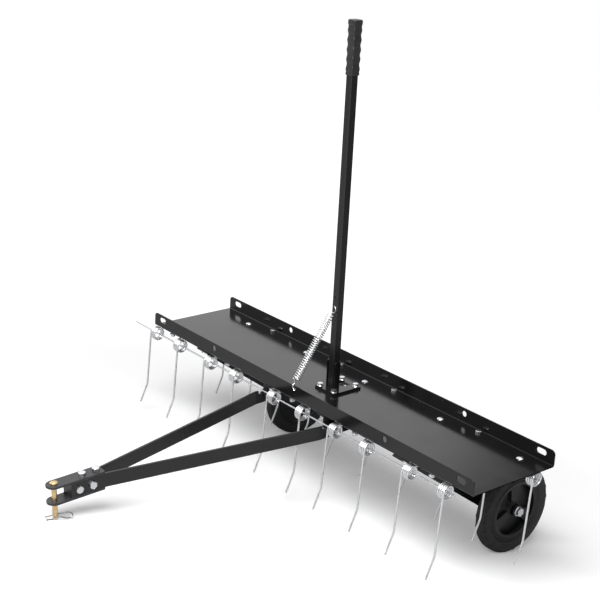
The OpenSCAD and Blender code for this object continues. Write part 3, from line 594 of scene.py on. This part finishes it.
class DETHATCHER_OT_tines(bpy.types.Operator):
    """Ten double torsion-spring tines, each one unbroken wire"""

    bl_idname = "dethatcher.tines"
    bl_label = "Tines"

    def execute(self, context):
        sizes = context.scene.dethatcher_sizes
        route = tine_route(sizes)
        for row, places, y in (("front", FRONT_TINES, FRONT_ROW_Y), ("rear", REAR_TINES, REAR_ROW_Y)):
            for i, x in enumerate(places, 1):
                place = PARKED @ Matrix.Translation((x, y, ROW_Z))
                made = wire_mesh(f"tine_wire_{row}_{i}", route, sizes.tine_wire, place)
                put_in_place(made, made.name, [f"tine_{row}_{i}"], smooth=60)
        return {"FINISHED"}


def turned_profile(points, steps):
    """A closed solid of revolution about X from (radius, offset) points in millimetres."""
    bm = bmesh.new()
    verts = [bm.verts.new((offset, 0, radius)) for radius, offset in points]
    edges = [bm.edges.new(pair) for pair in zip(verts, verts[1:])]
    bmesh.ops.spin(
        bm,
        geom=verts + edges,
        cent=(0, 0, 0),
        axis=(1, 0, 0),
        angle=2 * math.pi,
        steps=steps,
        use_merge=True,
    )
    return bm


def block(bm, corners, low, high):
    """A prism over a plane outline in (Y, Z), from X low to X high."""
    base = [bm.verts.new((low, y, z)) for y, z in corners]
    face = bm.faces.new(base)
    made = bmesh.ops.extrude_face_region(bm, geom=[face])
    top = [v for v in made["geom"] if isinstance(v, bmesh.types.BMVert)]
    bmesh.ops.translate(bm, verts=top, vec=(high - low, 0, 0))
    return base + top


class DETHATCHER_OT_wheels(bpy.types.Operator):
    """Two lugged tyres on three-spoked moulded rims"""

    bl_idname = "dethatcher.wheels"
    bl_label = "Wheels"

    def execute(self, context):
        lugs = context.scene.dethatcher_sizes.tread_lugs
        for side, sign in (("left", -1), ("right", 1)):
            hub = PARKED @ Matrix.Translation((sign * HUB_X, HUB_Y, HUB_Z))
            place = hub @ Matrix.Diagonal((sign, 1, 1, 1))
            self.tyre(side, place, lugs)
            self.rim(side, place)
        return {"FINISHED"}

    def tyre(self, side, place, lugs):
        """A solid tyre from half its section, (radius, offset), with a ring of lugs on each shoulder."""
        half = [(70.3, 0), (70.3, 12.5), (72, 14.2), (75.5, 14.8), (76.2, 14.1), (77.2, 14.1), (78, 15.3)]
        half += [(81.5, 15.9), (82.2, 15.3), (83.0, 15.3), (83.8, 15.9), (87, 15.6)]
        half += [(89.2, 13.8), (89.6, 11), (91, 10.4), (93.4, 10), (94.6, 8), (94.95, 0)]
        profile = half + [(radius, -offset) for radius, offset in reversed(half[1:-1])] + [half[0]]
        bm = turned_profile(profile, 120)
        lug = [(-5.2, 88.5), (-3.9, 93.6), (3.4, 93.6), (4.6, 88.5)]
        for shoulder in (-1, 1):
            made = block(bm, lug, shoulder * 8.8, shoulder * 13.6)
            outer = [v for v in made if v.co.z > 90 and abs(v.co.x) > 11]
            bmesh.ops.translate(bm, verts=outer, vec=(-shoulder * 1.6, 0, -1.2))
            turn = Matrix.Rotation(math.radians(shoulder * 3.75), 4, "X")
            bmesh.ops.transform(bm, matrix=turn, verts=made)
            edges = list({e for v in made for e in v.link_edges})
            faces = list({f for v in made for f in v.link_faces})
            bmesh.ops.spin(
                bm,
                geom=made + edges + faces,
                cent=(0, 0, 0),
                axis=(1, 0, 0),
                angle=2 * math.pi,
                steps=lugs,
                use_duplicate=True,
                use_merge=True,
            )
        made = mesh_piece(bm, f"tyre_{side}", [f"wheel_tyre_{side}"], place, smooth=35)
        bevelled(made, "moulded edges", width=0.6)

    def rim(self, side, place):
        """A rim's ring, web and hub from one closed section, (radius, offset), and three spokes."""
        ring = [(70, -13), (70, 12.4), (69.2, 13.6), (67.4, 13.6), (66.6, 12.4), (64.8, 12.1), (63.4, 13.2)]
        ring += [(61.4, 13.4), (60.4, 12.4), (57.4, 12), (55, 11.4), (54.2, 10.2), (55.4, 8.8), (59.4, 7.4)]
        ring += [(62.6, 4.6), (63.6, 0), (63.4, -1.6), (24, -2), (21, -1), (18, 5.6), (16.6, 6.4)]
        ring += [(13.2, 7), (12.8, 16.6), (12, 17.5), (5.1, 17.5), (5.1, -17.5), (12, -17.5)]
        ring += [(12.8, -16.6), (13.2, -8), (20, -5.4), (60, -5), (62.6, -7), (63.6, -11), (66, -13.4)]
        ring += [(68.8, -13.6), (70, -13)]
        bm = turned_profile(ring, 96)
        outline = [(-9, 12), (-10.6, 36), (-17, 62.6), (17, 62.6), (10.6, 36), (9, 12)]
        for angle in (0, 120, 240):
            spoke = block(bm, outline, -2.6, 6.0)
            bmesh.ops.transform(bm, matrix=Matrix.Rotation(math.radians(angle), 4, "X"), verts=spoke)
        made = mesh_piece(bm, f"rim_{side}", [f"wheel_rim_{side}"], place, smooth=35)
        bevelled(made, "moulded edges", width=0.7, over=40)


def rounded_ring(bm, half, corner, z):
    """The edges of a ring round a square with rounded corners, at one height."""
    verts = []
    for x, y, start in ((1, 1, 0), (-1, 1, 90), (-1, -1, 180), (1, -1, 270)):
        for k in range(6):
            angle = math.radians(start + 90 * k / 5)
            across = x * (half - corner) + corner * math.cos(angle)
            along = y * (half - corner) + corner * math.sin(angle)
            verts.append(bm.verts.new((across, along, z)))
    return [bm.edges.new(pair) for pair in zip(verts, verts[1:] + verts[:1])]


class DETHATCHER_OT_lever(bpy.types.Operator):
    """Square lift lever and its waved vinyl grip"""

    bl_idname = "dethatcher.lever"
    bl_label = "Lift lever"

    def execute(self, context):
        eased("lift_lever", width=0.3)
        low, high, rings_of_waves = GRIP_LOW, GRIP_HIGH, 44
        profile = [(low, 9.4), (low + 0.6, 10.2), (low + 2.2, 10.7), (low + 5, 10.3)]
        for i in range(rings_of_waves):
            z = low + 7 + i * (high - low - 20) / (rings_of_waves - 1)
            wave = GRIP_WAVE_DEPTH * math.cos(2 * math.pi * (z - low - 12) / GRIP_WAVE)
            profile.append((z, 10.2 + wave * (1 if z < high - 14 else 0.2)))
        profile += [(high - 9.5, 10.3), (high - 8.6, 10.9), (high - 2.2, 10.9)]
        profile += [(high - 0.7, 10.5), (high, 9.3)]
        bm = bmesh.new()
        rings = [rounded_ring(bm, half, 3.2, z) for z, half in profile]
        for below, above in zip(rings, rings[1:]):
            bmesh.ops.bridge_loops(bm, edges=below + above)
        for ring in (rings[0], rings[-1]):
            bmesh.ops.contextual_create(bm, geom=ring)
        mesh_piece(bm, "vinyl_grip", ["lever_grip"], smooth=50)
        return {"FINISHED"}


class DETHATCHER_OT_lever_spring(bpy.types.Operator):
    """Pull spring from the front flange to the lever: the open coil, and the upper hook with its shank"""

    bl_idname = "dethatcher.lever_spring"
    bl_label = "Lever spring"

    def execute(self, context):
        sizes = context.scene.dethatcher_sizes
        wire, turns = sizes.spring_wire, sizes.spring_turns
        sideways = Vector((1, 0, 0))
        line = (SPRING_HIGH - SPRING_LOW).normalized()
        up = sideways.cross(line).normalized()
        radius = (SPRING_ACROSS - wire) / 2
        start, end = LOW_HOOK, (SPRING_HIGH - SPRING_LOW).length - HIGH_HOOK

        def at(along, degrees, out):
            angle = math.radians(degrees)
            return SPRING_LOW + line * along + (sideways * math.cos(angle) + up * math.sin(angle)) * out

        front = -(wire / 2 + 1.4)
        hook = [(6, front, -10), (2.4, front, -5.5), (0.4, front, -1)]
        hook += [(0, front + 0.9, 1.2), (0, 0.6, 2.2), (0, 3.2, 3.0)]
        lower = [SPRING_LOW + Vector(spot) for spot in hook]
        lower += [at(start - 5.5, 90, 0.4), at(start - 2.2, 90, radius * 0.55)]
        steps = 20 * turns
        coil = [at(start + (end - start) * k / steps, 90 + 18 * k, radius) for k in range(steps + 1)]
        shank = [at(end - slide, 0, 0) for slide in (24.0, 16.0, 8.0, 1.0)]
        curl = [(-2.6, -5.4, -14.6), (1.8, -3.9, -13.6), (5.6, -3.5, -10.4), (7.2, -3.4, -5.9)]
        curl += [(5.8, -3.1, -1.6), (2.6, -2.2, 0.5), (0, 0.6, 0.5), (-0.8, 4.0, -0.2)]
        upper = shank + [SPRING_HIGH + Vector(spot) for spot in curl]
        pieces = {
            "pull_spring": (through(lower + [coil[0]], 5)[:-1] + coil, "lever_spring"),
            "pull_spring_upper_hook": (through(upper, 5), "towbar"),
        }
        for name, (route, body) in pieces.items():
            made = wire_mesh(name, route, wire, PARKED, sides=1)
            put_in_place(made, name, ["lever_spring"], smooth=60, body=body)
        return {"FINISHED"}


class DETHATCHER_OT_hitch_pin(bpy.types.Operator):
    """Domed hitch pin in yellow zinc and its wire clip"""

    bl_idname = "dethatcher.hitch_pin"
    bl_label = "Hitch pin"

    def execute(self, context):
        eased("hitch_pin", width=0.3, smooth=30)
        spots = [(-20, 0, 0), (-12, 0, 0), (0, 0, 0), (8, 0, 0), (14, -0.4, 0.1), (20, -1, 0.1)]
        spots += [(26, -2, -0.9), (30, -3.2, -3.8), (30.4, -4.4, -7.2), (26.5, -5.4, -9.8)]
        spots += [(20.5, -6.4, -9.2), (14, -7.2, -6.4), (8, -7.4, -3.4), (3, -7.2, -3.6)]
        spots += [(-2, -7.2, -4.2), (-8, -7.2, -3.6), (-14, -7.6, -2.6), (-20, -9, -1.2)]
        route = through([Vector(spot) for spot in spots], 6)
        in_pin = ON_BAR @ Matrix.Translation((0, -PIN_REACH, CLIP_Z)) @ Matrix.Rotation(CLIP_TURN, 4, "Z")
        made = wire_mesh("retaining_clip", route, context.scene.dethatcher_sizes.clip_wire, in_pin)
        put_in_place(made, "retaining_clip", ["hitch_clip"], smooth=60)
        # The clip takes the darker copy of the wire, which is painted shade.
        made.data.materials[0] = bpy.data.materials["spring wire darkened as painted shade"]
        return {"FINISHED"}


class DETHATCHER_OT_stage(bpy.types.Operator):
    """Camera at the photograph's angle, pale studio floor, white surroundings and one softbox"""

    bl_idname = "dethatcher.stage"
    bl_label = "Studio"

    def execute(self, context):
        scene = context.scene
        scene.view_settings.view_transform = "Standard"
        self.camera(scene)
        self.floor(scene)
        self.sky(scene)
        self.softbox(scene)
        return {"FINISHED"}

    def camera(self, scene):
        """The photograph's camera, from its place, its backward direction and its up direction."""
        data = bpy.data.cameras.new("camera")
        data.sensor_width = 36.0
        data.lens = CAMERA_LENS
        data.clip_end = 100
        camera = bpy.data.objects.new("camera", data)
        scene.collection.objects.link(camera)
        camera.location = CAMERA_PLACE
        back = Vector(CAMERA_BACK)
        right = Vector(CAMERA_UP).cross(back).normalized()
        turn = Matrix((right, back.cross(right).normalized(), back.normalized())).transposed()
        camera.rotation_mode = "QUATERNION"
        camera.rotation_quaternion = turn.to_quaternion()
        scene.camera = camera

    def floor(self, scene):
        """A wide sheet of paper at the height of the ground."""
        bm = bmesh.new()
        bmesh.ops.create_grid(bm, x_segments=1, y_segments=1, size=40)
        floor = as_object(bm, "studio_floor")
        floor.data.materials.append(self.paper(tuple(scene.dethatcher_colours.floor)))

    def softbox(self, scene):
        """A rectangular white light in front of the machine and above it."""
        data = bpy.data.lights.new("front softbox", "AREA")
        data.shape = "RECTANGLE"
        data.size, data.size_y = SOFTBOX_SIZE
        data.energy = SOFTBOX_WATTS
        lamp = bpy.data.objects.new("front softbox", data)
        scene.collection.objects.link(lamp)
        lamp.location = SOFTBOX_PLACE
        lamp.rotation_mode = "QUATERNION"
        lamp.rotation_quaternion = (Vector(SOFTBOX_PLACE) - Vector(SOFTBOX_TARGET)).to_track_quat("Z", "Y")

    def paper(self, base):
        """Seamless paper: grey to reflections and bounces, pale to the camera, pure white further away."""
        unseen = (0.56, 0.56, 0.57)
        fade_from, fade_to, glow_strength = 0.7, 1.7, 0.2
        made = bpy.data.materials.new("seamless paper")
        made.use_nodes = True
        nodes = made.node_tree.nodes
        nodes.clear()
        place = add(nodes, "ShaderNodeTexCoord").outputs["Object"]
        fibre = add(nodes, "ShaderNodeTexNoise", {"Scale": per_mm(3.0), "Detail": 2.0}, {"Vector": place})
        tone = add(
            nodes,
            "ShaderNodeMix",
            {6: (*(c * 0.99 for c in base), 1), 7: (*base, 1)},
            {0: fibre.outputs["Fac"]},
            data_type="RGBA",
        )
        rays = add(nodes, "ShaderNodeLightPath")
        seen = add(
            nodes,
            "ShaderNodeMix",
            {6: (*unseen, 1)},
            {0: rays.outputs["Is Camera Ray"], 7: tone.outputs[2]},
            data_type="RGBA",
        )
        matt = add(nodes, "ShaderNodeBsdfDiffuse", links={"Color": seen.outputs[2]})
        away = add(nodes, "ShaderNodeVectorMath", links={0: place}, operation="LENGTH").outputs["Value"]
        far = add(
            nodes,
            "ShaderNodeMapRange",
            {"From Min": fade_from, "From Max": fade_to},
            {"Value": away},
            interpolation_type="SMOOTHSTEP",
        )
        share = add(
            nodes,
            "ShaderNodeMath",
            links={0: far.outputs[0], 1: rays.outputs["Is Camera Ray"]},
            operation="MULTIPLY",
        )
        white = add(nodes, "ShaderNodeEmission", {"Color": WHITE, "Strength": 1.0})
        surfaces = {0: share.outputs[0], 1: matt.outputs[0], 2: white.outputs[0]}
        mixed = add(nodes, "ShaderNodeMixShader", links=surfaces)
        lift = add(
            nodes,
            "ShaderNodeMath",
            {1: glow_strength},
            {0: rays.outputs["Is Camera Ray"]},
            operation="MULTIPLY",
        )
        glow = add(nodes, "ShaderNodeEmission", {"Color": WHITE}, {"Strength": lift.outputs[0]})
        both = add(nodes, "ShaderNodeAddShader", links={0: mixed.outputs[0], 1: glow.outputs[0]})
        add(nodes, "ShaderNodeOutputMaterial", links={"Surface": both.outputs[0]})
        return made

    def sky(self, scene):
        """White to the camera; in reflections white overhead and at the left, else dark grey."""
        dark, ambient_level = 0.15, 0.2
        bright_left, left_from, left_to = 1.22, -0.56, -0.63
        bright_above, above_from, above_to = 1.1, 0.62, 0.8
        world = bpy.data.worlds.new("studio")
        world.use_nodes = True
        nodes = world.node_tree.nodes
        nodes.clear()
        rays = add(nodes, "ShaderNodeLightPath")
        aim = add(nodes, "ShaderNodeTexCoord").outputs["Generated"]
        parts = add(nodes, "ShaderNodeSeparateXYZ", links={"Vector": aim})
        left = add(
            nodes,
            "ShaderNodeMapRange",
            {"From Min": left_from, "From Max": left_to, "To Min": dark, "To Max": bright_left},
            {"Value": parts.outputs["X"]},
            interpolation_type="SMOOTHSTEP",
        )
        above = add(
            nodes,
            "ShaderNodeMapRange",
            {"From Min": above_from, "From Max": above_to, "To Min": dark, "To Max": bright_above},
            {"Value": parts.outputs["Z"]},
            interpolation_type="SMOOTHSTEP",
        )
        panel = add(
            nodes,
            "ShaderNodeMath",
            links={0: left.outputs["Result"], 1: above.outputs["Result"]},
            operation="MAXIMUM",
        )
        ambient = add(
            nodes,
            "ShaderNodeMix",
            {2: ambient_level},
            {0: rays.outputs["Is Glossy Ray"], 3: panel.outputs[0]},
            data_type="FLOAT",
        )
        level = add(
            nodes,
            "ShaderNodeMix",
            {3: 1.0},
            {0: rays.outputs["Is Camera Ray"], 2: ambient.outputs[0]},
            data_type="FLOAT",
        )
        light = add(nodes, "ShaderNodeBackground", {"Color": WHITE}, {"Strength": level.outputs[0]})
        add(nodes, "ShaderNodeOutputWorld", links={"Surface": light.outputs[0]})
        scene.world = world


class DETHATCHER_PT_panel(bpy.types.Panel):
    """Lists the pieces, sizes and colours"""

    bl_idname = "DETHATCHER_PT_panel"
    bl_label = "Dethatcher"
    bl_space_type = "VIEW_3D"
    bl_region_type = "UI"
    bl_category = "Dethatcher"

    def draw(self, context):
        for operator in OPERATORS:
            self.layout.operator(operator.bl_idname)
        for group in (context.scene.dethatcher_sizes, context.scene.dethatcher_colours):
            box = self.layout.box()
            for name in group.__annotations__:
                box.prop(group, name)


OPERATORS = (
    DETHATCHER_OT_stage,
    DETHATCHER_OT_sheet_steel,
    DETHATCHER_OT_fasteners,
    DETHATCHER_OT_tines,
    DETHATCHER_OT_wheels,
    DETHATCHER_OT_lever,
    DETHATCHER_OT_lever_spring,
    DETHATCHER_OT_hitch_pin,
)
CLASSES = (DethatcherSizes, DethatcherColours, *OPERATORS, DETHATCHER_PT_panel)


def register():
    """Register the classes and give each scene its sizes and colours."""
    for cls in CLASSES:
        bpy.utils.register_class(cls)
    bpy.types.Scene.dethatcher_sizes = PointerProperty(type=DethatcherSizes)
    bpy.types.Scene.dethatcher_colours = PointerProperty(type=DethatcherColours)


def unregister():
    """Take back what register gave."""
    del bpy.types.Scene.dethatcher_colours
    del bpy.types.Scene.dethatcher_sizes
    for cls in reversed(CLASSES):
        bpy.utils.unregister_class(cls)


def main():
    """Register the classes and draw every piece in turn."""
    register()
    bpy.ops.dethatcher.stage()
    bpy.ops.dethatcher.sheet_steel()
    bpy.ops.dethatcher.fasteners()
    bpy.ops.dethatcher.tines()
    bpy.ops.dethatcher.wheels()
    bpy.ops.dethatcher.lever()
    bpy.ops.dethatcher.lever_spring()
    bpy.ops.dethatcher.hitch_pin()


if __name__ == "__main__":
    main()
